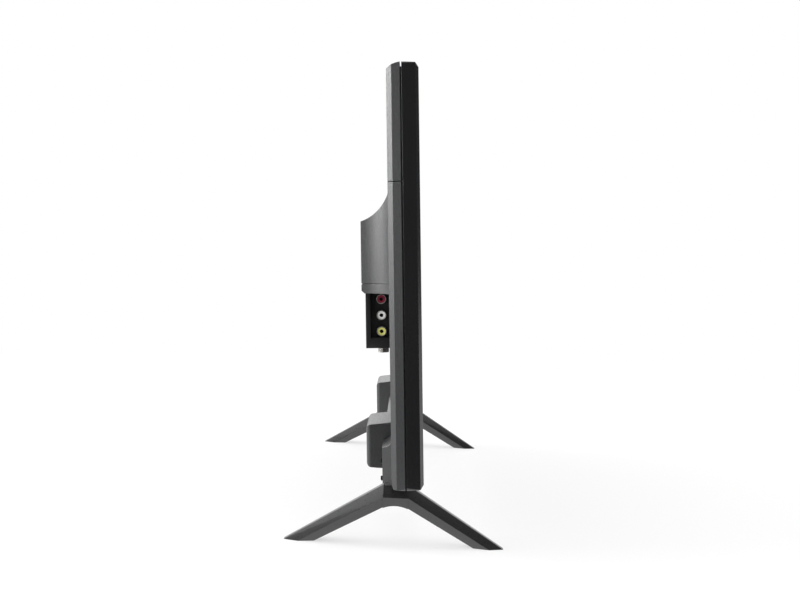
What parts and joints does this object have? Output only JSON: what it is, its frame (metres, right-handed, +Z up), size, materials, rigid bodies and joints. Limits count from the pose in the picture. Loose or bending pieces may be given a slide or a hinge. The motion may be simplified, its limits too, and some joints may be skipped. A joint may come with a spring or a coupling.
{
  "type": "flat screen television",
  "caption": "Slim flat screen television leaning back on splayed feet, with a swept rear bump, side phono bay, rear speaker boxes and push keys.",
  "frame": {"origin": "on the floor, midway between the feet and midway along them", "axes": "+X to the right seen from the front, +Y from the screen to the back, +Z up"},
  "size_m": [0.552, 0.175, 0.3779],
  "materials": {
    "bezel_black": "satin black moulding",
    "screen": "anti-glare polarizer over the glass cell",
    "white_sheet": "matt white film",
    "inner_black": "plain black moulding",
    "white_board": "white solder mask",
    "lens_clear": "clear moulded lens",
    "steel": "zinc plated sheet",
    "board_green": "green solder mask",
    "board_brown": "paper laminate",
    "heat_sink": "black anodised",
    "transformer": "yellow tape over the winding",
    "capacitor": "dark sleeve",
    "ir_red": "dark red filter",
    "housing_black": "fine textured black",
    "nickel": "nickel plated",
    "jack_red": "dark red moulding",
    "jack_white": "white moulding",
    "jack_yellow": "pale yellow moulding",
    "cover_grey": "spark textured dark grey",
    "screw_black": "black oxide",
    "brass": "turned",
    "cone_black": "pressed paper",
    "magnet": "bare ferrite",
    "key_black": "satin black moulding",
    "foot_black": "semi-gloss black moulding"
  },
  "bodies": {
    "set": {"front_bezel": "bezel_black", "lcd_cell": "screen", "optical_sheets": "white_sheet", "diffuser_plate": "white_sheet", "mid_frame": "inner_black", "reflector_sheet": "white_sheet", "led_strips": "white_board", "led_lenses": "lens_clear", "chassis_plate": "steel", "timing_board": "board_green", "main_board": "board_green", "heat_sink": "heat_sink", "tuner_can": "steel", "power_board": "board_brown", "transformer": "transformer", "capacitors": "capacitor", "board_standoffs": "steel", "key_board": "board_green", "key_switches": "inner_black", "ir_board": "board_green", "ir_window": "ir_red", "terminal_housing": "housing_black", "jack_block": "inner_black", "jack_sleeves": "nickel", "red_jack": "jack_red", "white_jack": "jack_white", "yellow_jack": "jack_yellow", "antenna_socket": "nickel", "hdmi_port": "nickel", "usb_port": "nickel", "power_inlet": "housing_black", "inlet_pins": "nickel", "upper_rear_cover": "cover_grey", "lower_rear_cover": "cover_grey", "cover_screws": "screw_black", "vesa_inserts": "brass", "left_speaker_box": "cover_grey", "right_speaker_box": "cover_grey", "speaker_frames": "steel", "speaker_cones": "cone_black", "speaker_magnets": "magnet", "left_foot": "foot_black", "right_foot": "foot_black", "foot_screws": "screw_black"},
    "power_key_body": {"power_key": "key_black"},
    "source_key_body": {"source_key": "key_black"},
    "menu_key_body": {"menu_key": "key_black"},
    "channel_down_key_body": {"channel_down_key": "key_black"},
    "channel_up_key_body": {"channel_up_key": "key_black"},
    "volume_down_key_body": {"volume_down_key": "key_black"},
    "volume_up_key_body": {"volume_up_key": "key_black"}
  },
  "joints": [
    {"name": "power_key_press", "type": "slide", "parent": "set", "child": "power_key_body", "axis": [0, -0.9981, 0.061], "range_m": [0, 0.0005], "stiffness_N_per_m": 1500},
    {"name": "source_key_press", "type": "slide", "parent": "set", "child": "source_key_body", "axis": [0, -0.9981, 0.061], "range_m": [0, 0.0005], "stiffness_N_per_m": 1500},
    {"name": "menu_key_press", "type": "slide", "parent": "set", "child": "menu_key_body", "axis": [0, -0.9981, 0.061], "range_m": [0, 0.0005], "stiffness_N_per_m": 1500},
    {"name": "channel_down_key_press", "type": "slide", "parent": "set", "child": "channel_down_key_body", "axis": [0, -0.9981, 0.061], "range_m": [0, 0.0005], "stiffness_N_per_m": 1500},
    {"name": "channel_up_key_press", "type": "slide", "parent": "set", "child": "channel_up_key_body", "axis": [0, -0.9981, 0.061], "range_m": [0, 0.0005], "stiffness_N_per_m": 1500},
    {"name": "volume_down_key_press", "type": "slide", "parent": "set", "child": "volume_down_key_body", "axis": [0, -0.9981, 0.061], "range_m": [0, 0.0005], "stiffness_N_per_m": 1500},
    {"name": "volume_up_key_press", "type": "slide", "parent": "set", "child": "volume_up_key_body", "axis": [0, -0.9981, 0.061], "range_m": [0, 0.0005], "stiffness_N_per_m": 1500}
  ]
}
